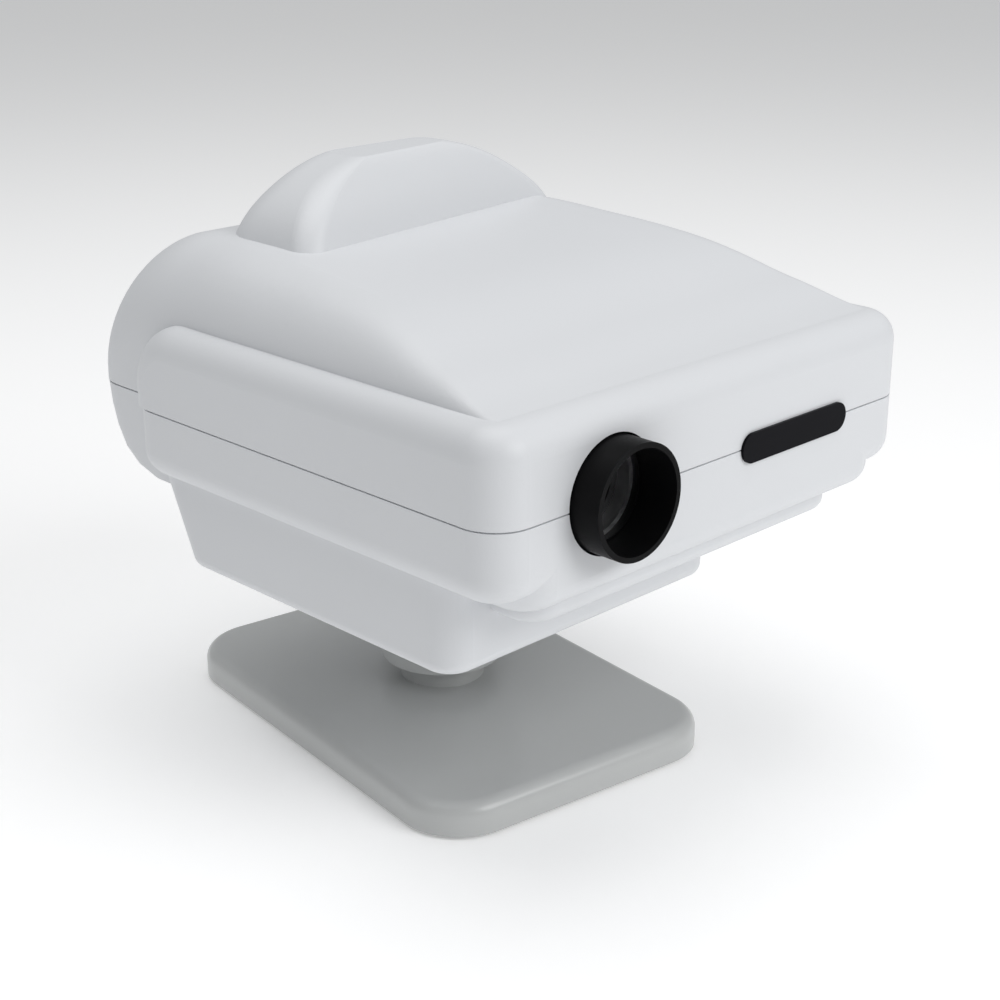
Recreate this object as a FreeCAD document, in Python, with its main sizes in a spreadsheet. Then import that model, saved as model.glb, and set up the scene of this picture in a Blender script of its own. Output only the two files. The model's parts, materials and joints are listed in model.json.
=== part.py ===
import FreeCAD, Part
import math
import os
import Sketcher

# Automatic vision-chart projector on a tilting, swivelling table stand.
# Front is -Y, up is +Z, right is +X; the swivel axis is the Z axis and the table is z = 0.
# Millimetres throughout.

os.makedirs("parts", exist_ok=True)
doc = FreeCAD.newDocument("ChartProjector")
V = FreeCAD.Vector
X_AXIS, Y_AXIS, Z_AXIS = V(1, 0, 0), V(0, 1, 0), V(0, 0, 1)

# ------------------------------------------------------------------ driving dimensions
SIZES = {
    # stand
    "base_width": 147, "base_depth": 212, "base_top": 15, "pad_height": 1.5, "base_turn": -8,
    "base_corner": 27, "base_edge": 6, "base_side": -4.5, "base_back": -4,
    "post_radius": 19, "post_top": 24, "spigot_radius": 10, "spigot_top": 52,
    "collar_radius": 27, "collar_low": 25, "collar_high": 44,
    "cheek_in": 17, "cheek_out": 24, "cheek_half": 11, "tilt_height": 72, "axle_radius": 4,
    "knob_radius": 14, "knob_length": 15,
    # housing
    "body_half": 120, "core_half": 108, "body_front": -155.5, "rail_rear": 57, "body_rear": 98.5,
    "core_corner": 15, "seam": 156, "rail_low": 126.5, "belly": 120, "rail_top": 190.5,
    "wall": 2.6, "corner": 16,
    "ledge_low": 110.5, "ledge_front": -146, "ledge_right": 88, "ledge_left": -92,
    "pan_low": 89.5, "pan_front": -124, "pan_left": -112, "pan_right": 36,
    "pan_back_low": 35, "pan_back_high": 45,
    # optics
    "lens_x": -62, "lens_z": 157, "barrel_radius": 21.7, "barrel_out": 12.5, "barrel_bore": 19.6,
    "tube_radius": 18.95, "tube_bore": 17, "cell_radius": 16.95, "cell_bore": 14,
    "disc_x": -36, "disc_radius": 36, "disc_sheet": 1, "hub_radius": 8, "stub_radius": 3,
    "tooth_module": 1, "wheel_teeth": 40, "pinion_teeth": 12, "gear_face": 4,
    "bench_front": -70, "bench_rear": -20, "bench_sheet": 3, "chassis_low": 117, "chassis_sheet": 2,
    "motor_side": 28, "motor_length": 32,
    # running clearance on radius
    "running": 0.05,
}
sheet = doc.addObject("Spreadsheet::Sheet", "Dims")
for row, (alias, value) in enumerate(SIZES.items(), start=1):
    sheet.set("A%d" % row, alias)
    sheet.set("B%d" % row, str(value))
    sheet.setAlias("B%d" % row, alias)
doc.recompute()


def size(alias):
    return float(getattr(sheet, alias))


# ------------------------------------------------------------------ building helpers
UPRIGHT = FreeCAD.Rotation()
ALONG_Y = FreeCAD.Rotation(X_AXIS, -90)
ALONG_X = FreeCAD.Rotation(Y_AXIS, 90)
parts = []


def bind(obj, prop, value):
    """Text is an expression on the sheet, a number is set as it is."""
    if isinstance(value, str):
        words = value.replace("(", "( ").replace(")", " )").split()
        obj.setExpression(prop, " ".join("Dims." + w if w in SIZES else w for w in words))
    else:
        setattr(obj, prop, value)


def primitive(kind, name, at, turn=UPRIGHT, **sizes):
    obj = doc.addObject("Part::" + kind, name)
    for prop, value in sizes.items():
        bind(obj, prop, value)
    obj.Placement = FreeCAD.Placement(V(*at), turn)
    return obj


def block(name, x0, x1, y0, y1, z0, z1):
    return primitive("Box", name, (x0, y0, z0), Length=x1 - x0, Width=y1 - y0, Height=z1 - z0)


def rod(name, radius, length, at, turn=ALONG_Y):
    return primitive("Cylinder", name, at, turn, Radius=radius, Height=length)


def join(name, *pieces):
    obj = doc.addObject("Part::MultiFuse", name)
    obj.Shapes = list(pieces)
    return obj


def cut(name, solid, *tools):
    obj = doc.addObject("Part::Cut", name)
    obj.Base = solid
    obj.Tool = tools[0] if len(tools) == 1 else join(name + "_tools", *tools)
    return obj


def ring(name, outer, inner, length, at, turn=ALONG_Y):
    """A tube, its bore running through both ends."""
    return cut(name, rod(name + "_outside", outer, length, at, turn),
               rod(name + "_bore", inner, length, at, turn))


def free(name, shape):
    obj = doc.addObject("Part::Feature", name)
    obj.Shape = shape
    return obj


def part(obj, name=None):
    obj.Label = name or obj.Label
    parts.append(obj)
    return obj


def origin_plane(body, role):
    return [f for f in body.Origin.OriginFeatures if f.Role == role][0]


def sketch_on(body, role, name, offset=0):
    sk = body.newObject("Sketcher::SketchObject", name)
    sk.AttachmentSupport = [(origin_plane(body, role), "")]
    sk.MapMode = "FlatFace"
    sk.AttachmentOffset = FreeCAD.Placement(V(0, 0, offset), UPRIGHT)
    return sk


def draw_rounded(sk, width, depth, corner, x=0, y=0):
    """Rounded rectangle about (x, y): four lines and four corner arcs, tied to the sheet."""
    w, d, r = [size(v) if isinstance(v, str) else v for v in (width, depth, corner)]
    w, d = w / 2, d / 2
    ring_pts = [(x - w + r, y - d), (x + w - r, y - d), (x + w, y - d + r), (x + w, y + d - r),
                (x + w - r, y + d), (x - w + r, y + d), (x - w, y + d - r), (x - w, y - d + r)]
    centres = [(x + w - r, y - d + r), (x + w - r, y + d - r), (x - w + r, y + d - r),
               (x - w + r, y - d + r)]
    for i in range(4):
        a, b = ring_pts[2 * i], ring_pts[2 * i + 1]
        sk.addGeometry(Part.LineSegment(V(a[0], a[1], 0), V(b[0], b[1], 0)), False)
        circle = Part.Circle(V(centres[i][0], centres[i][1], 0), Z_AXIS, r)
        sk.addGeometry(Part.ArcOfCircle(circle, math.radians(90 * i - 90), math.radians(90 * i)), False)
    for i in range(4):
        sk.addConstraint(Sketcher.Constraint("Coincident", 2 * i, 2, 2 * i + 1, 1))
        sk.addConstraint(Sketcher.Constraint("Coincident", 2 * i + 1, 2, (2 * i + 2) % 8, 1))


def draw_circle(sk, radius, x=0, y=0):
    r = size(radius) if isinstance(radius, str) else radius
    index = sk.addGeometry(Part.Circle(V(x, y, 0), Z_AXIS, r), False)
    rule = sk.addConstraint(Sketcher.Constraint("Radius", index, r))
    if isinstance(radius, str):
        sk.setExpression("Constraints[%d]" % rule, "Dims." + radius)


def pad(body, sk, name, length):
    feature = body.newObject("PartDesign::Pad", name)
    feature.Profile = sk
    bind(feature, "Length", length)
    return feature


def pocket(body, sk, name, length, reverse=False):
    feature = body.newObject("PartDesign::Pocket", name)
    feature.Profile = sk
    feature.Reversed = reverse
    bind(feature, "Length", length)
    return feature


def fillet_where(body, feature, name, radius, test):
    doc.recompute()
    names = ["Edge%d" % (i + 1) for i, e in enumerate(feature.Shape.Edges) if test(e)]
    rounded = body.newObject("PartDesign::Fillet", name)
    rounded.Base = (feature, names)
    bind(rounded, "Radius", radius)
    return rounded


def new_body(name):
    body = doc.addObject("PartDesign::Body", name)
    return body


def smooth(knots, at):
    """Monotone cubic through (place, value) knots, held flat outside them."""
    if at <= knots[0][0]:
        return knots[0][1]
    if at >= knots[-1][0]:
        return knots[-1][1]
    steps = [(b[1] - a[1]) / (b[0] - a[0]) for a, b in zip(knots, knots[1:])]
    slopes = [steps[0]]
    for left, right in zip(steps, steps[1:]):
        slopes.append(0 if left * right <= 0 else 2 * left * right / (left + right))
    slopes.append(steps[-1])
    i = max(k for k in range(len(knots) - 1) if knots[k][0] <= at)
    (a, va), (b, vb) = knots[i], knots[i + 1]
    w = b - a
    u = (at - a) / w
    return (va * (1 + 2 * u) * (1 - u) ** 2 + vb * u * u * (3 - 2 * u)
            + w * (slopes[i] * u * (1 - u) ** 2 - slopes[i + 1] * u * u * (1 - u)))


def rounded_wire(corners, radii):
    """Closed wire through flat corners in space, each corner rounded by its own radius."""
    count = len(corners)
    arcs = []
    for i in range(count):
        before, here, after = corners[i - 1], corners[i], corners[(i + 1) % count]
        to_before = (before - here).normalize()
        to_after = (after - here).normalize()
        half = to_before.getAngle(to_after) / 2
        reach = radii[i] / math.tan(half)
        centre = here + (to_before + to_after).normalize() * (radii[i] / math.sin(half))
        middle = centre + (here - centre).normalize() * radii[i]
        arcs.append((here + to_before * reach, middle, here + to_after * reach))
    edges = []
    for i, (start, middle, end) in enumerate(arcs):
        edges.append(Part.Arc(start, middle, end).toShape())
        edges.append(Part.LineSegment(end, arcs[(i + 1) % count][0]).toShape())
    return Part.Wire(edges)


def soft_block(x0, x1, y0, y1, z0, z1, upright, flat, at_top):
    """Box with rounded upright corners and one softened flat rim."""
    shape = Part.makeBox(x1 - x0, y1 - y0, z1 - z0, V(x0, y0, z0))
    tall = [e for e in shape.Edges if abs(e.Vertexes[0].Z - e.Vertexes[1].Z) > 1]
    shape = shape.makeFillet(upright, tall)
    level = z1 if at_top else z0
    rim = [e for e in shape.Edges if all(abs(v.Z - level) < 1e-6 for v in e.Vertexes)]
    return shape.makeFillet(flat, rim)


# ------------------------------------------------------------------ stand
base_centre = V(size("base_side"), size("base_back"), 0)
turn = FreeCAD.Placement(base_centre, FreeCAD.Rotation(Z_AXIS, size("base_turn")))

base_pad = new_body("base_pad")
outline = sketch_on(base_pad, "XY_Plane", "pad_outline")
draw_rounded(outline, size("base_width") - 8, size("base_depth") - 8, size("base_corner") - 4)
base_pad.Tip = pad(base_pad, outline, "pad_sheet", "pad_height")
base_pad.Placement = turn
part(base_pad)

base_plate = new_body("base_plate")
outline = sketch_on(base_plate, "XY_Plane", "plate_outline", size("pad_height"))
draw_rounded(outline, "base_width", "base_depth", "base_corner")
slab = pad(base_plate, outline, "plate_slab", "base_top - pad_height")
crown = fillet_where(base_plate, slab, "plate_crown", "base_edge",
                     lambda e: all(abs(v.Z - size("base_top")) < 1e-4 for v in e.Vertexes))
base_plate.Tip = crown
base_plate.Placement = turn
part(base_plate)

post = rod("post_barrel", "post_radius", size("post_top") - size("base_top"),
           (0, 0, size("base_top")), UPRIGHT)
spigot = rod("post_spigot", "spigot_radius", size("spigot_top") - size("base_top"),
             (0, 0, size("base_top")), UPRIGHT)
part(join("pedestal_post", post, spigot))
part(ring("thrust_washer", 18, 10, 0.7, (0, 0, size("post_top")), UPRIGHT))

hexagon = primitive("Prism", "nut_hexagon", (0, 0, 44.6), Polygon=6, Circumradius=15, Height=6)
part(cut("swivel_nut", hexagon, rod("nut_thread", "spigot_radius", 6, (0, 0, 44.6), UPRIGHT)))

collar = rod("head_collar", "collar_radius", "collar_high - collar_low", (0, 0, size("collar_low")), UPRIGHT)
cheeks = []
for side, x in (("left", -size("cheek_out")), ("right", size("cheek_in"))):
    cheek = size("cheek_half")
    thick = size("cheek_out") - size("cheek_in")
    cheeks.append(block("cheek_" + side, x, x + thick, -cheek, cheek, 40, size("tilt_height")))
    cheeks.append(rod("cheek_eye_" + side, "cheek_half", thick, (x, 0, size("tilt_height")), ALONG_X))
head = join("head_casting", collar, *cheeks)
part(cut("swivel_head", head,
         rod("head_bore", "spigot_radius + running", 40, (0, 0, 20), UPRIGHT),
         rod("head_eyes", "axle_radius", 60, (-30, 0, size("tilt_height")), ALONG_X)))

axle = rod("axle_shank", "axle_radius", 2 * size("cheek_out"),
           (-size("cheek_out"), 0, size("tilt_height")), ALONG_X)
axle_head = rod("axle_head", 7, 4, (-size("cheek_out") - 4, 0, size("tilt_height")), ALONG_X)
stud = rod("axle_stud", 3, 14, (size("cheek_out"), 0, size("tilt_height")), ALONG_X)
part(join("tilt_axle", axle, axle_head, stud))

knob_x = size("cheek_out") + 0.4
knob_hub = rod("knob_hub", 8, 4, (knob_x, 0, size("tilt_height")), ALONG_X)
knob_grip = rod("knob_grip", "knob_radius", 11, (knob_x + 4, 0, size("tilt_height")), ALONG_X)
flutes = []
for i in range(8):
    angle = 2 * math.pi * i / 8
    reach = size("knob_radius") + 1.6
    flutes.append(rod("knob_flute_%d" % i, 3.2, 13, (knob_x + 3.5, reach * math.cos(angle),
                  size("tilt_height") + reach * math.sin(angle)), ALONG_X))
knob_bore = rod("knob_bore", 3.05, 14, (knob_x, 0, size("tilt_height")), ALONG_X)
part(cut("tilt_knob", join("knob_body", knob_hub, knob_grip), knob_bore, *flutes))

# ------------------------------------------------------------------ housing
# Solid forms first, each drawn once and used again, smaller by the wall, for its hollow.
HOOD_TOP = ((-146, 189), (-130, 193.5), (-113, 199), (-98, 203.5), (-80, 209.5), (-56, 214), (-6, 217.5),
            (32, 218.5), (98, 218.5))
# extra shoulder rounding towards the back
HOOD_CREST = ((20, 0), (60, 8), (98, 18))


def hood(inset):
    """Raised middle of the cover: sections across the body, swept from front to back.

    The side walls stand straight up to the shoulder; above it the corner is one round whose
    radius is all the height that the top has left, so it fades out towards the front.
    """
    rows = []
    back = size("body_rear") - inset
    over_top, over_side = 40 - inset, size("core_corner") - inset
    stations = [-147 + inset, -136, -124, -113, -98, -80, -56, -30, -6, 20, 45, back - over_top]
    stations += [back - over_top * (1 - math.sin(math.radians(a))) for a in (30, 50, 65, 76, 84, 90)]
    for y in stations:
        full_top = smooth(HOOD_TOP, y) - inset
        drop = over_top - math.sqrt(max(0.0, over_top ** 2 - max(0.0, y - back + over_top) ** 2))
        side = over_side - math.sqrt(max(0.0, over_side ** 2 - max(0.0, y - back + over_side) ** 2))
        top, low = full_top - drop, 140
        foot = size("core_half") - inset - side
        crest = max(2.5, full_top - size("rail_top") + inset + 2 + smooth(HOOD_CREST, y) - 0.3 * drop)
        pts = [V(-foot, y, low), V(-foot, y, top), V(foot, y, top), V(foot, y, low)]
        rows.append(rounded_wire(pts, [1.0, crest, crest, 1.0]))
    return Part.makeLoft(rows, True, False)


def hump(inset):
    """Lamp-house dome behind the top panel: rounded plan sections stacked upward.

    Each row is level, left, right, front at the left, front at the right, back, and the
    corner rounds at the front and at the back.
    """
    rows = []
    for level, left, right, near_left, near_right, far, near_soft, far_soft in (
            (200, -73, 100, -6, 20, 64, 9, 22), (212, -72, 96, -3, 22, 61, 9, 21),
            (222, -68, 88, 1, 23, 58, 9, 20), (230, -62, 77, 5, 24, 55, 9, 19),
            (237, -53, 65, 10, 25, 52, 9, 17), (243, -41, 51, 15, 26, 49, 8, 13),
            (248, -24, 32, 21, 28, 44, 5, 7)):
        x0, x1, y1, z = left + inset, right - inset, far - inset, level - inset
        pts = [V(x0, near_left + inset, z), V(x1, near_right + inset, z), V(x1, y1, z), V(x0, y1, z)]
        front_round, back_round = max(1.2, near_soft - inset), max(1.5, far_soft - inset)
        rows.append(rounded_wire(pts, [front_round, front_round, back_round, back_round]))
    return Part.makeLoft(rows, True, False)


def shoulders(inset):
    """Full-width band under the hood; its nose falls away in a long round at the back."""
    x, y0, y1 = size("body_half") - inset, size("body_front") + inset, size("rail_rear") - inset
    z1 = size("rail_top") - inset
    shape = Part.makeBox(2 * x, y1 - y0, z1 - 140, V(-x, y0, 140))
    nose = [e for e in shape.Edges if all(abs(v.Z - z1) < 1e-6 and abs(v.Y - y1) < 1e-6 for v in e.Vertexes)]
    shape = shape.makeFillet(26 - inset, nose)
    tall = [e for e in shape.Edges if all(abs(v.Y - y0) < 1e-6 for v in e.Vertexes)
            and abs(e.Vertexes[0].Z - e.Vertexes[1].Z) > 1]
    shape = shape.makeFillet(size("corner") - inset, tall)
    rim = [e for e in shape.Edges if e.BoundBox.ZMax > z1 - 30 and e.BoundBox.ZMin > z1 - 30]
    rim = [e for e in rim if not (e.BoundBox.XLength > 150 and e.BoundBox.YMin > 0)]
    return shape.makeFillet(12 - inset, rim)


def sloped_tray(x0, x1, y0, low, high, inset, upright, flat):
    """Tray under the case whose back wall leans out as it rises."""
    lean = (size("pan_back_high") - size("pan_back_low")) / (size("ledge_low") - size("pan_low"))
    back = size("pan_back_low") - inset * 1.1
    ends = [back + lean * (z - size("pan_low")) for z in (low, high)]
    outline = Part.makePolygon([V(x0, y0, low), V(x0, ends[0], low), V(x0, ends[1], high),
                                V(x0, y0, high), V(x0, y0, low)])
    tray = Part.Face(outline).extrude(V(x1 - x0, 0, 0))
    walls = [e for e in tray.Edges if e.BoundBox.ZLength > 5 and e.BoundBox.XLength < 0.01]
    tray = tray.makeFillet(upright - inset, walls)
    rim = [e for e in tray.Edges if all(abs(v.Z - low) < 1e-6 for v in e.Vertexes)]
    return tray.makeFillet(flat - inset, rim)


def underside(inset):
    """Case below the seam: side rails, core, ledge and deep pan stepping down to the left."""
    seam = size("seam") + 12
    rails = soft_block(-size("body_half") + inset, size("body_half") - inset,
                       size("body_front") + inset, size("rail_rear") - inset,
                       size("rail_low") + inset, seam, size("corner") - inset, 11 - inset, False)
    core = soft_block(-size("core_half") + 2 + inset, size("core_half") - 2 - inset,
                      size("body_front") + inset, 60 - inset,
                      size("belly") + inset, seam, size("corner") - inset, 9 - inset, False)
    half, soft = size("core_half") - inset, size("core_corner") - inset
    levels = []
    for y, z in ((70, 120.5), (81, 123.5), (89, 129), (94, 137), (97, 146), (98.5, 156), (101, 168)):
        rise = inset if z < seam else 0
        y = min(y, 98.5) - inset
        levels.append(rounded_wire([V(-half, 10, z + rise), V(half, 10, z + rise), V(half, y, z + rise),
                                    V(-half, y, z + rise)], [2.0, 2.0, soft, soft]))
    tail = Part.makeLoft(levels, True, True)
    ledge = sloped_tray(size("ledge_left") + inset, size("ledge_right") - inset, size("ledge_front") + inset,
                        size("ledge_low") + inset, size("rail_low") + 3, inset, 13, 5)
    pan = sloped_tray(size("pan_left") + inset, size("pan_right") - inset, size("pan_front") + inset,
                      size("pan_low") + inset, size("rail_low") + 3, inset, 12, 5)
    return rails.fuse([core, tail, ledge, pan]).removeSplitter()


def slab_between(z0, z1):
    return Part.makeBox(600, 600, z1 - z0, V(-300, -300, z0))


wall = size("wall")
lens_hole = Part.makeCylinder(size("barrel_radius") + 0.8, 40,
                              V(size("lens_x"), size("body_front") - 10, size("lens_z")), Y_AXIS)
WINDOW_X, WINDOW_HALF, WINDOW_RISE = 43, 33, 6


def window_pill(front, depth, grow=0):
    """Rounded bar with full-round ends, standing through the front wall."""
    centre, rise = WINDOW_HALF - WINDOW_RISE, WINDOW_RISE + grow
    ends = [Part.makeCylinder(rise, depth, V(WINDOW_X + s * centre, front, size("seam") - 0.5), Y_AXIS)
            for s in (-1, 1)]
    bar = Part.makeBox(2 * centre, depth, 2 * rise, V(WINDOW_X - centre, front, size("seam") - 0.5 - rise))
    return bar.fuse(ends).removeSplitter()


front = size("body_front")
upper = shoulders(0).fuse([hood(0), hump(0)]).common(slab_between(size("seam"), 320))
for hollow in (shoulders(wall), hood(wall), hump(wall)):
    upper = upper.cut(hollow)
upper = upper.cut(lens_hole).cut(window_pill(front - 5, 20))
VENT_X, VENT_Z = -45, 178
for i in range(7):
    slot = Part.makeBox(60, 30, 2.4, V(VENT_X - 30, size("body_rear") - 20, VENT_Z - 15 + 4.6 * i))
    upper = upper.cut(slot)
part(free("upper_cover", upper))

lower = underside(0).common(slab_between(0, size("seam")))
lower = lower.cut(underside(wall))
shadow_gap = underside(0).common(slab_between(size("seam") - 0.6, size("seam") + 1)).cut(underside(1.0))
lower = lower.cut(shadow_gap)
lower = lower.cut(lens_hole).cut(window_pill(front - 5, 20))
PORT_LEFT, PORT_RIGHT = 4, 96
lower = lower.cut(Part.makeBox(PORT_RIGHT - PORT_LEFT, 40, 18, V(PORT_LEFT, 74, 136)))
for x in (PORT_LEFT - 3, PORT_RIGHT + 1):
    rib = Part.makeBox(2, 10, 25.9, V(x, 76, 130)).common(underside(0.5))
    lower = lower.fuse(rib)
bracket_holes = [(-24, -18), (14, -18), (-24, 18), (14, 18)]
for x, y in bracket_holes:
    lower = lower.cut(Part.makeCylinder(2, 20, V(x, y, 80)))
part(free("lower_case", lower))
part(free("receiver_window", window_pill(front - 1.2, 4.5)))

# ------------------------------------------------------------------ tilt bracket and floor hardware
plate_low = size("pan_low") - 3
bracket = join("bracket_body",
               block("bracket_plate", -32, 22, -26, 26, plate_low, size("pan_low")),
               block("bracket_tongue", -16.6, 16.6, -11, 11, size("tilt_height"), plate_low),
               rod("bracket_eye", 11, 33.2, (-16.6, 0, size("tilt_height")), ALONG_X))
bores = [rod("bracket_bore", "axle_radius + running", 60, (-30, 0, size("tilt_height")), ALONG_X)]
for i, (x, y) in enumerate(bracket_holes):
    bores.append(rod("bracket_hole_%d" % i, 2, 10, (x, y, plate_low - 3), UPRIGHT))
part(cut("tilt_bracket", bracket, *bores))
floor = size("pan_low") + wall
stiffener = new_body("floor_stiffener")
outline = sketch_on(stiffener, "XY_Plane", "stiffener_outline", floor)
draw_rounded(outline, 46, 46, 4, -5, 0)
plain = pad(stiffener, outline, "stiffener_sheet", 3)
holes = sketch_on(stiffener, "XY_Plane", "stiffener_holes", floor)
for x, y in bracket_holes:
    draw_circle(holes, 2, x, y)
stiffener.Tip = pocket(stiffener, holes, "stiffener_bores", 6, True)
part(stiffener)
bolts = []
for i, (x, y) in enumerate(bracket_holes):
    bolts.append(join("bolt_%d" % i, rod("bolt_head_%d" % i, 3.6, 2.5, (x, y, plate_low - 2.5), UPRIGHT),
                      rod("bolt_shank_%d" % i, 2, 11, (x, y, plate_low - 0.5), UPRIGHT)))
part(join("bracket_screws", *bolts))
posts = [rod("standoff_%d" % i, 4, size("chassis_low") - floor, (x, y, floor), UPRIGHT)
         for i, (x, y) in enumerate(((-98, -108), (12, -108), (12, -40), (-98, 18), (-42, 18)))]
part(join("chassis_standoffs", *posts))

chassis = new_body("chassis_plate")
outline = sketch_on(chassis, "XY_Plane", "chassis_outline", size("chassis_low"))
draw_rounded(outline, 172, 158, 6, -22, -38)
chassis.Tip = pad(chassis, outline, "chassis_sheet_metal", "chassis_sheet")
part(chassis)
deck = size("chassis_low") + size("chassis_sheet")

# ------------------------------------------------------------------ optical bench
lx, lz, dx = size("lens_x"), size("lens_z"), size("disc_x")
pinion_x = dx + (size("wheel_teeth") + size("pinion_teeth")) / 2 * size("tooth_module")
bf, br, bs = size("bench_front"), size("bench_rear"), size("bench_sheet")


def bench_wall(name, y, aperture, stub_y0, stub_y1):
    """Upright bench plate: light aperture, motor pilot hole, stub shaft for one disc."""
    plate = block(name + "_sheet", -104, 34, y, y + bs, deck, 190)
    foot_y = y - 12 if y < -40 else y + bs
    foot = block(name + "_foot", -104, 34, foot_y, foot_y + 12, deck, deck + bs)
    stub = rod(name + "_stub", "stub_radius", stub_y1 - stub_y0, (dx, stub_y0, lz))
    plate = cut(name + "_pierced", plate, rod(name + "_light", aperture, 20, (lx, y - 8, lz)),
                rod(name + "_pilot", 7, 20, (pinion_x, y - 8, lz)))
    return join(name, plate, foot, stub)


part(bench_wall("bench_front_wall", bf, size("tube_bore"), bf, -52))
part(bench_wall("bench_rear_wall", br, 12, -36, br))

HALF_TOOTH = math.pi / 2


def toothed(name, teeth, width, at):
    """Spur wheel with straight-flanked teeth, swept along Y."""
    module = size("tooth_module")
    pitch = teeth * module / 2
    tip, root = pitch + 0.85 * module, pitch - 1.15 * module
    pts = []
    for i in range(teeth):
        middle = 2 * math.pi * i / teeth
        for reach, swing in ((root, -0.62), (tip, -0.27), (tip, 0.27), (root, 0.62)):
            angle = middle + swing * HALF_TOOTH / teeth * 1.55
            pts.append(V(reach * math.cos(angle), 0, reach * math.sin(angle)))
    pts.append(pts[0])
    wheel = Part.Face(Part.makePolygon(pts)).extrude(V(0, width, 0))
    wheel.translate(V(*at))
    return free(name, wheel)


def disc_set(name, y_disc, y_gear, wheel_phase):
    """Aperture disc, hub and toothed wheel in one turning piece on a stub shaft."""
    sheet_disc = rod(name + "_sheet", "disc_radius", "disc_sheet", (dx, y_disc, lz))
    low, high = min(y_disc, y_gear), max(y_disc + 1, y_gear + size("gear_face"))
    hub = rod(name + "_hub", "hub_radius", high - low, (dx, low, lz))
    wheel = toothed(name + "_wheel", int(size("wheel_teeth")), size("gear_face"), (dx, y_gear, lz))
    reach = dx - lx
    windows = []
    for i in range(10):
        angle = math.pi + 2 * math.pi * i / 10
        windows.append(rod("%s_window_%d" % (name, i), 6.2, 4,
                       (dx + reach * math.cos(angle), y_disc - 1, lz + reach * math.sin(angle))))
    bore = rod(name + "_bore", "stub_radius + running", 20, (dx, low - 5, lz))
    return cut(name, join(name + "_solid", sheet_disc, hub, wheel), bore, *windows)


part(disc_set("chart_disc", -34, -29, 0))
part(disc_set("mask_disc", -56, -62, 0))


def pinion(name, y_gear, y_shaft0, y_shaft1):
    """Motor pinion with its shaft; its gaps face the wheel."""
    teeth = int(size("pinion_teeth"))
    wheel = toothed(name + "_wheel", teeth, size("gear_face"), (0, 0, 0))
    wheel.Placement = FreeCAD.Placement(V(pinion_x, y_gear, lz), FreeCAD.Rotation(Y_AXIS, 180.0 / teeth))
    shaft = rod(name + "_shaft", 2.5, y_shaft1 - y_shaft0, (pinion_x, y_shaft0, lz))
    return join(name, wheel, shaft)


part(pinion("chart_pinion", -29, -31, -4))
part(pinion("mask_pinion", -62, -84, -57))


def stepper(name, y0, y1, opening):
    """Square motor; blind bore for the pinion shaft on the bench side."""
    side = size("motor_side") / 2
    can = block(name + "_can", pinion_x - side, pinion_x + side, y0, y1, lz - side, lz + side)
    start = y0 - 1 if opening < 0 else y1 - 17
    bore = rod(name + "_bore", 2.55, 18, (pinion_x, start, lz))
    return cut(name, can, bore)


part(stepper("chart_motor", br + bs, br + bs + size("motor_length"), -1))
part(stepper("mask_motor", bf - size("motor_length"), bf, 1))

tube_back = bf
tube = join("tube_body", rod("tube_sleeve", "tube_radius", 78, (lx, tube_back - 78, lz)),
            rod("tube_flange", 26, 4, (lx, tube_back - 4, lz)))
tube_slot = block("tube_slot", lx - 2.2, lx + 2.2, -134, -110, lz + 10, lz + 22)
part(cut("lens_tube", tube, rod("tube_bore_tool", "tube_bore", 90, (lx, tube_back - 84, lz)), tube_slot))

barrel_front = size("body_front") - size("barrel_out")
barrel = rod("barrel_outside", "barrel_radius", 50, (lx, barrel_front, lz))
hood_bore = rod("barrel_hood_bore", "barrel_bore", 18, (lx, barrel_front - 1, lz))
run_bore = rod("barrel_run_bore", "tube_radius + running", 60, (lx, barrel_front, lz))
part(cut("focus_barrel", barrel, hood_bore, run_bore))

cell = rod("cell_outside", "cell_radius", 40, (lx, -142, lz))
cell_bore = rod("cell_bore_tool", "cell_bore", 50, (lx, -147, lz))
pin = rod("cell_pin", 1.6, 4, (lx, -122, lz + 14.6), UPRIGHT)
part(join("objective_cell", cut("cell_tube", cell, cell_bore), pin))


def lens(name, radius, y, thickness, bulge_front, bulge_back):
    """Biconvex lens: a cylinder kept only where it lies inside two large balls."""
    whole = thickness + bulge_front + bulge_back
    glass = Part.makeCylinder(radius, whole, V(lx, y - bulge_front, lz), Y_AXIS)
    for bulge, pole, inward in ((bulge_front, y - bulge_front, 1),
                                (bulge_back, y + thickness + bulge_back, -1)):
        ball = (radius ** 2 + bulge ** 2) / (2 * bulge)
        glass = glass.common(Part.makeSphere(ball, V(lx, pole + inward * ball, lz), Y_AXIS))
    return free(name, glass)


part(lens("objective_front_lens", 13.97, -127, 5, 2.6, 1.2))
part(lens("objective_rear_lens", 13.97, -112, 4, 1.2, 2.0))

cell_y = br + bs
housing = rod("condenser_outside", 20, 34, (lx, cell_y, lz))
flange = rod("condenser_flange", 24, 3, (lx, cell_y, lz))
part(cut("condenser_cell", join("condenser_body", housing, flange),
         rod("condenser_bore", 17, 50, (lx, cell_y - 5, lz))))
part(lens("condenser_front_lens", 16.97, cell_y + 6, 4, 1.5, 4))
part(lens("condenser_rear_lens", 16.97, cell_y + 20, 4, 4, 1.5))

board_y = cell_y + 34
part(cut("led_board",
         block("led_board_sheet", lx - 20, lx + 20, board_y + 2, board_y + 3.6, lz - 20, lz + 20),
         rod("led_board_hole", 1.5, 5, (lx + 15, board_y, lz + 15))))
part(join("led_lamp", rod("led_base", 5, 1.2, (lx, board_y + 0.8, lz)),
          rod("led_dome", 3.4, 2.0, (lx, board_y - 0.4, lz))))
spacers = [rod("lamp_spacer_%d" % i, 2, 2, (lx + sx * 13, board_y, lz + sz * 13))
           for i, (sx, sz) in enumerate(((-1, -1), (1, -1), (1, 1), (-1, 1)))]
part(join("lamp_spacers", *spacers))

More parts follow.
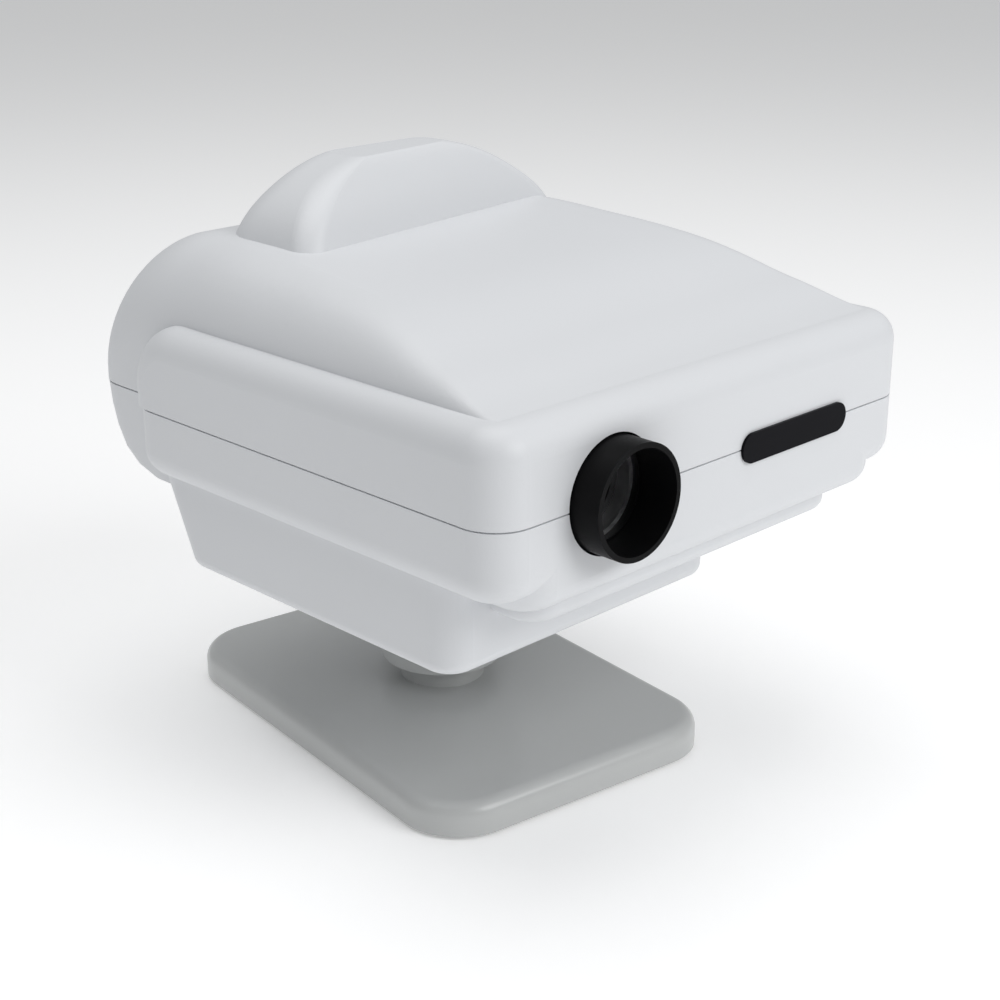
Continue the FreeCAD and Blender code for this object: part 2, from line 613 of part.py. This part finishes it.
sink_y = board_y + 3.6
fins = [block("sink_base", lx - 25, lx + 25, sink_y, sink_y + 5, lz - 22, lz + 22)]
fins += [block("sink_fin_%d" % i, lx - 25 + i * 6, lx - 23 + i * 6, sink_y + 5, sink_y + 24, lz - 22, lz + 22)
         for i in range(9)]
part(join("heat_sink", *fins))
part(join("lamp_saddle", block("saddle_plate", lx - 25, lx + 25, cell_y + 13, sink_y + 20, deck, deck + 3),
          block("saddle_web", lx - 25, lx + 25, sink_y + 1, sink_y + 5, deck + 3, lz - 22)))

fan_y, fan_z = sink_y + 24.5, lz + 8
frame = cut("fan_frame_ring",
            block("fan_square", lx - 25, lx + 25, fan_y, fan_y + 12, fan_z - 25, fan_z + 25),
            rod("fan_throat", 23.5, 20, (lx, fan_y - 4, fan_z)))
spider = rod("fan_hub_plate", 9, 2, (lx, fan_y + 10, fan_z))
arms = [block("fan_arm_x", lx - 24, lx + 24, fan_y + 10, fan_y + 12, fan_z - 1.5, fan_z + 1.5),
        block("fan_arm_z", lx - 1.5, lx + 1.5, fan_y + 10, fan_y + 12, fan_z - 24, fan_z + 24)]
fan_pin = rod("fan_pin", 1.5, 7, (lx, fan_y + 4, fan_z))
rear_floor = size("belly") + wall + 0.52
fan_foot = block("fan_foot", lx - 25, lx + 25, fan_y, fan_y + 12, rear_floor, fan_z - 25)
part(join("fan_frame", frame, spider, *arms, fan_pin, fan_foot))

blades = []
for i in range(7):
    blade = Part.makeBox(11.6, 1.2, 7, V(8.6, -0.6, -3.5))
    blade.rotate(V(0, 0, 0), X_AXIS, 38)
    blade.rotate(V(0, 0, 0), Y_AXIS, 360 * i / 7)
    blades.append(blade)
rotor = Part.makeCylinder(9.5, 7, V(0, -3.5, 0), Y_AXIS).fuse(blades).removeSplitter()
rotor = rotor.cut(Part.makeCylinder(1.55, 20, V(0, -2.2, 0), Y_AXIS))
rotor.translate(V(lx, fan_y + 5.6, fan_z))
part(free("fan_impeller", rotor))

# ------------------------------------------------------------------ electronics
board_z = 134
board = new_body("main_board")
outline = sketch_on(board, "XY_Plane", "board_outline", board_z)
draw_rounded(outline, 66, 112, 3, 76, -84)
board.Tip = pad(board, outline, "board_sheet", 1.6)
part(board)
core_floor = size("belly") + wall


def board_feet(name, spots):
    """Posts from the deck, or from the case floor right of it, up to a board."""
    feet = []
    for i, (x, y) in enumerate(spots):
        foot = deck if x < 64 else core_floor
        feet.append(rod("%s_%d" % (name, i), 3, board_z - foot, (x, y, foot), UPRIGHT))
    return join(name, *feet)


part(board_feet("board_standoffs", ((50, -112), (50, -36), (94, -130), (94, -36))))
top = board_z + 1.6
part(block("processor_chip", 62, 82, -92, -72, top, top + 2.4))
part(join("board_sockets", block("socket_motor", 46, 54, -120, -92, top, top + 9),
          block("socket_lamp", 46, 54, -80, -64, top, top + 9),
          block("socket_supply", 84, 104, -44, -36, top, top + 11)))
part(join("board_capacitors",
          *[rod("capacitor_%d" % i, 4.5, 14, (96, -118 + 13 * i, top), UPRIGHT) for i in range(4)]))

part(join("power_supply", block("supply_board", 34, 104, -20, 52, board_z, board_z + 2),
          block("supply_transformer", 48, 76, -8, 22, board_z + 2, board_z + 28),
          rod("supply_reservoir", 9, 26, (90, 34, board_z + 2), UPRIGHT),
          block("supply_sink", 38, 41, -12, 40, board_z + 2, board_z + 26)))
part(board_feet("supply_standoffs", ((50, -14), (50, 34), (94, -14), (94, 44))))

window_back = front - 1.2 + 4.5
part(block("receiver_board", WINDOW_X - 22, WINDOW_X + 22, window_back + 6, window_back + 7.6, 144, 166))
part(join("receiver_sensor",
          block("sensor_body", WINDOW_X - 4, WINDOW_X + 4, window_back + 1.2, window_back + 6, 151, 160),
          rod("sensor_dome", 2.6, 1.2, (WINDOW_X, window_back, 155.5))))
inner_face = front + wall
posts = []
for i, (sx, z) in enumerate(((-19, 147), (19, 147), (-19, 164), (19, 164))):
    posts.append(rod("receiver_post_%d" % i, 2, window_back + 6 - inner_face, (WINDOW_X + sx, inner_face, z)))
part(join("receiver_posts", *posts))

# ------------------------------------------------------------------ rear connector panel
panel_y = 79
part(cut("rear_panel",
         block("panel_sheet", PORT_LEFT - 1, PORT_RIGHT + 1, panel_y - 2, panel_y, 133.4, 155.6),
         block("panel_inlet_hole", 62, 89, panel_y - 5, panel_y + 5, 134.5, 154.1),
         block("panel_switch_hole", 36, 49, panel_y - 5, panel_y + 5, 134.8, 153.8),
         rod("panel_fuse_hole", 6, 10, (18, panel_y - 5, 144.5))))
inlet = join("inlet_body", block("inlet_housing", 62, 89, panel_y - 22, panel_y, 134.5, 154.1),
             block("inlet_flange", 60.5, 90.5, panel_y, panel_y + 2.5, 133.8, 155.2))
inlet = cut("inlet_hollow", inlet, block("inlet_mouth", 63.5, 87.5, panel_y - 16, panel_y + 5, 136.4, 152.2))
pins = [block("inlet_pin_%d" % i, x - 1, x + 1, panel_y - 17, panel_y - 1, z - 2, z + 2)
        for i, (x, z) in enumerate(((68.5, 143), (75.5, 147.5), (82.5, 143)))]
part(join("power_inlet", inlet, *pins))
bezel = join("bezel_body", block("bezel_housing", 36, 49, panel_y - 14, panel_y, 134.8, 153.8),
             block("bezel_flange", 34.5, 50.5, panel_y, panel_y + 1.6, 133.4, 155.2))
part(cut("switch_bezel", bezel, block("bezel_mouth", 37.4, 47.6, panel_y - 10, panel_y + 5, 136.2, 152.4)))
rocker_z, rocker_y = 144.3, panel_y - 4
profile = ((5.4, -6.3), (6.0, 0), (7.4, 6.3), (-2, 5.2), (-4, 0), (-2, -5.2), (5.4, -6.3))
rocker = Part.Face(Part.makePolygon([V(0, y, z) for y, z in profile])).extrude(V(9.4, 0, 0))
rocker.translate(V(37.8, rocker_y, rocker_z))
rocker = rocker.cut(Part.makeCylinder(1.05, 20, V(30, rocker_y, rocker_z), X_AXIS))
part(free("power_rocker", rocker))
part(rod("rocker_pin", 1, 10.2, (37.4, rocker_y, rocker_z), ALONG_X))
holder = join("holder_body", rod("holder_tube", 6, 26, (18, panel_y - 26, 144.5)),
              rod("holder_flange", 8, 2, (18, panel_y, 144.5)))
part(cut("fuse_holder", holder, rod("holder_bore", 4.6, 26, (18, panel_y - 23, 144.5))))
cap = join("cap_body", rod("cap_plug", 4.55, 12, (18, panel_y - 9.6, 144.5)),
           rod("cap_head", 6.6, 4.5, (18, panel_y + 2.4, 144.5)))
part(cut("fuse_cap", cap, block("cap_slot", 11, 25, panel_y + 5.4, panel_y + 8, 143.9, 145.1)))

# ------------------------------------------------------------------ case screws from below
screws = [rod("case_screw_%d" % i, 3.5, 2, (62, y, size("ledge_low") - 2), UPRIGHT)
          for i, y in enumerate((-112, 20))]
part(join("case_screws", *screws))

# ------------------------------------------------------------------ hand out
doc.recompute()
for obj in doc.Objects:
    if "Invalid" in obj.State or "Error" in obj.State:
        raise RuntimeError("%s: %s" % (obj.Label, obj.State))
for obj in parts:
    if obj.Shape.isNull() or not obj.Shape.isValid():
        raise RuntimeError("bad shape: " + obj.Label)
    obj.Shape.exportStep("parts/%s.step" % obj.Label)
    box = obj.Shape.BoundBox
    reach = [round(v, 1) for v in (box.XMin, box.XMax, box.YMin, box.YMax, box.ZMin, box.ZMax)]
    print(obj.Label, reach, round(obj.Shape.Volume / 1000, 2), len(obj.Shape.Solids))
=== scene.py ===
import json
import math
import bpy
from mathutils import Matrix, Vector

# Automatic vision-chart projector: camera, light, floor and a finish for every part of the frame.
# Metres, Z up, the lens looks along -Y.

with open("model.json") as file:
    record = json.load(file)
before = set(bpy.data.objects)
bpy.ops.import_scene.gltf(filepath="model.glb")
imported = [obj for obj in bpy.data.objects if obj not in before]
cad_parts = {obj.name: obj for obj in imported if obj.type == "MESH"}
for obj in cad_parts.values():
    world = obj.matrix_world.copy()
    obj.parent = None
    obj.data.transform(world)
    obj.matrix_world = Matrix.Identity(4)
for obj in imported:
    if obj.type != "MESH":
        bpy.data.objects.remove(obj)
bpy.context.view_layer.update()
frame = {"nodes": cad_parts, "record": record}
scene = bpy.context.scene
scene.view_settings.view_transform = "Standard"

# ------------------------------------------------------------------ camera
AIM = Vector((0.0087, -0.0285, 0.1026))
AZIMUTH, ELEVATION, DISTANCE = math.radians(44.9), math.radians(20.5), 0.7783
SENSOR_MM, FOCAL_MM = 36.0, 64.8

away = Vector((-math.sin(AZIMUTH) * math.cos(ELEVATION), -math.cos(AZIMUTH) * math.cos(ELEVATION),
               math.sin(ELEVATION)))
camera = bpy.data.objects.new("camera", bpy.data.cameras.new("camera"))
scene.collection.objects.link(camera)
camera.location = AIM + away * DISTANCE
camera.rotation_euler = (-away).to_track_quat("-Z", "Y").to_euler()
camera.data.sensor_width = SENSOR_MM
camera.data.lens = FOCAL_MM
camera.data.clip_start = 0.01
scene.camera = camera

# ------------------------------------------------------------------ light
SKY_COLOUR, SKY_STRENGTH = (0.97, 0.985, 1.0, 1.0), 0.35

world = bpy.data.worlds.new("studio")
world.use_nodes = True
sky = world.node_tree.nodes["Background"]
sky.inputs["Color"].default_value = SKY_COLOUR
sky.inputs["Strength"].default_value = SKY_STRENGTH
scene.world = world


def softbox(name, place, target, side, power):
    """Square studio light at a place, facing a target; side in metres, power in watts."""
    data = bpy.data.lights.new(name, "AREA")
    data.shape = "RECTANGLE"
    data.size, data.size_y, data.energy = side, side, power
    lamp = bpy.data.objects.new(name, data)
    scene.collection.objects.link(lamp)
    lamp.location = place
    lamp.rotation_euler = (Vector(target) - Vector(place)).to_track_quat("-Z", "Y").to_euler()


softbox("key_softbox", place=(0.35, -1.5, 1.15), target=(0, 0, 0.12), side=1.0, power=12.5)
softbox("top_softbox", place=(-0.1, 0.15, 1.7), target=(0, 0, 0.15), side=1.5, power=13.5)

# ------------------------------------------------------------------ finishes
PATCH_EDGES = (0.35, 0.65)      # noise values between which the two patch colours blend
GLOSS_EDGES = (0.3, 0.7)        # noise values between which the roughness changes
GLASS_TRANSMISSION, GLASS_IOR = 0.96, 1.52


def finish(name, colour, shade, patch, rough, grain=0.0, grain_size=900.0, stretch=(1, 1, 1),
           metal=0.0, coat=0.0, coat_rough=0.1, specular=0.5):
    """A surface with slow colour patches, uneven gloss and fine relief, all in the part's own space.

    shade darkens one of the two patch colours, and rough holds the two ends of the gloss.
    patch and grain_size are noise scales, and grain is the relief's height in metres.
    """
    mat = bpy.data.materials.new(name)
    mat.use_nodes = True
    nodes, links = mat.node_tree.nodes, mat.node_tree.links
    shader = nodes["Principled BSDF"]
    shader.inputs["Metallic"].default_value = metal
    shader.inputs["Coat Weight"].default_value = coat
    shader.inputs["Coat Roughness"].default_value = coat_rough
    shader.inputs["Specular IOR Level"].default_value = specular
    place = nodes.new("ShaderNodeTexCoord")
    scale = nodes.new("ShaderNodeMapping")
    scale.inputs["Scale"].default_value = stretch
    links.new(place.outputs["Object"], scale.inputs["Vector"])

    slow = nodes.new("ShaderNodeTexNoise")
    slow.inputs["Scale"].default_value = patch
    slow.inputs["Detail"].default_value = 3.0
    links.new(scale.outputs["Vector"], slow.inputs["Vector"])
    tint = nodes.new("ShaderNodeValToRGB")
    dark, light = tint.color_ramp.elements
    dark.position, light.position = PATCH_EDGES
    dark.color = [c * shade for c in colour] + [1.0]
    light.color = list(colour) + [1.0]
    links.new(slow.outputs["Fac"], tint.inputs["Fac"])
    links.new(tint.outputs["Color"], shader.inputs["Base Color"])

    fine = nodes.new("ShaderNodeTexNoise")
    fine.inputs["Scale"].default_value = grain_size
    fine.inputs["Detail"].default_value = 2.0
    links.new(scale.outputs["Vector"], fine.inputs["Vector"])
    gloss = nodes.new("ShaderNodeMapRange")
    gloss.inputs["From Min"].default_value, gloss.inputs["From Max"].default_value = GLOSS_EDGES
    gloss.inputs["To Min"].default_value, gloss.inputs["To Max"].default_value = rough
    links.new(fine.outputs["Fac"], gloss.inputs["Value"])
    links.new(gloss.outputs["Result"], shader.inputs["Roughness"])
    if grain:
        relief = nodes.new("ShaderNodeBump")
        relief.inputs["Strength"].default_value = 1.0
        relief.inputs["Distance"].default_value = grain
        links.new(fine.outputs["Fac"], relief.inputs["Height"])
        links.new(relief.outputs["Normal"], shader.inputs["Normal"])
    return mat


LOOKS = {
    "housing": dict(colour=(0.71, 0.722, 0.742), shade=0.98, patch=7.0, rough=(0.42, 0.50),
                    grain=0.00002, grain_size=1400.0),
    "stand_paint": dict(colour=(0.53, 0.54, 0.535), shade=0.985, patch=6.0, rough=(0.28, 0.33),
                        grain=0.000004, grain_size=400.0, coat=0.2, coat_rough=0.12),
    "rubber_foot": dict(colour=(0.025, 0.025, 0.026), shade=0.8, patch=60.0, rough=(0.75, 0.9),
                        grain=0.0001, grain_size=700.0),
    "black_barrel": dict(colour=(0.006, 0.006, 0.0065), shade=0.75, patch=30.0, rough=(0.36, 0.46),
                         grain=0.00002, grain_size=1100.0, specular=0.05),
    "smoke_window": dict(colour=(0.007, 0.007, 0.009), shade=0.8, patch=20.0, rough=(0.2, 0.26),
                         grain=0.00001, grain_size=600.0, specular=0.03),
    "steel": dict(colour=(0.56, 0.56, 0.57), shade=0.85, patch=40.0, rough=(0.24, 0.38),
                  grain=0.00002, stretch=(1, 0.06, 1), metal=1.0),
    "sheet_metal": dict(colour=(0.68, 0.69, 0.70), shade=0.88, patch=25.0, rough=(0.32, 0.48),
                        grain=0.00002, grain_size=1000.0, stretch=(0.05, 1, 1), metal=1.0),
    "black_plastic": dict(colour=(0.02, 0.02, 0.021), shade=0.75, patch=40.0, rough=(0.45, 0.6),
                          grain=0.00005, grain_size=1200.0),
    "white_nylon": dict(colour=(0.78, 0.77, 0.72), shade=0.93, patch=50.0, rough=(0.5, 0.6),
                        grain=0.00003),
    "disc_sheet": dict(colour=(0.03, 0.03, 0.033), shade=0.7, patch=30.0, rough=(0.4, 0.55),
                       grain=0.00002, grain_size=1000.0, metal=0.6),
    "motor_can": dict(colour=(0.03, 0.03, 0.033), shade=0.8, patch=30.0, rough=(0.3, 0.42),
                      grain=0.00003, grain_size=800.0, coat=0.2),
    "circuit_board": dict(colour=(0.012, 0.14, 0.055), shade=0.6, patch=260.0, rough=(0.28, 0.4),
                          grain=0.00004, grain_size=1500.0, coat=0.3),
    "lamp": dict(colour=(0.86, 0.74, 0.22), shade=0.9, patch=120.0, rough=(0.2, 0.3), coat=0.4),
    "glass": dict(colour=(0.93, 0.96, 0.97), shade=0.99, patch=20.0, rough=(0.0, 0.02)),
}
FINISHES = {name: finish(name, **look) for name, look in LOOKS.items()}
glass_shader = FINISHES["glass"].node_tree.nodes["Principled BSDF"]
glass_shader.inputs["Transmission Weight"].default_value = GLASS_TRANSMISSION
glass_shader.inputs["IOR"].default_value = GLASS_IOR

for part in frame["record"]["subparts"]:
    for holder in frame["nodes"][part["node"]].material_slots:
        holder.material = FINISHES[part["material_slot"]]

# ------------------------------------------------------------------ floor
FLOOR_HALF = 6      # metres
FLOOR_GLOW = 0.2    # lifts the paper towards white
CORNERS = ((-1, -1), (1, -1), (1, 1), (-1, 1))

floor_mesh = bpy.data.meshes.new("floor")
floor_mesh.from_pydata([(x * FLOOR_HALF, y * FLOOR_HALF, 0) for x, y in CORNERS], [], [(0, 1, 2, 3)])
floor = bpy.data.objects.new("floor", floor_mesh)
scene.collection.objects.link(floor)
paper = finish("floor_paper", colour=(0.95, 0.95, 0.95), shade=0.995, patch=1.0, rough=(0.8, 0.9))
paper_shader = paper.node_tree.nodes["Principled BSDF"]
paper_shader.inputs["Emission Color"].default_value = (1.0, 1.0, 1.0, 1.0)
paper_shader.inputs["Emission Strength"].default_value = FLOOR_GLOW
floor_mesh.materials.append(paper)
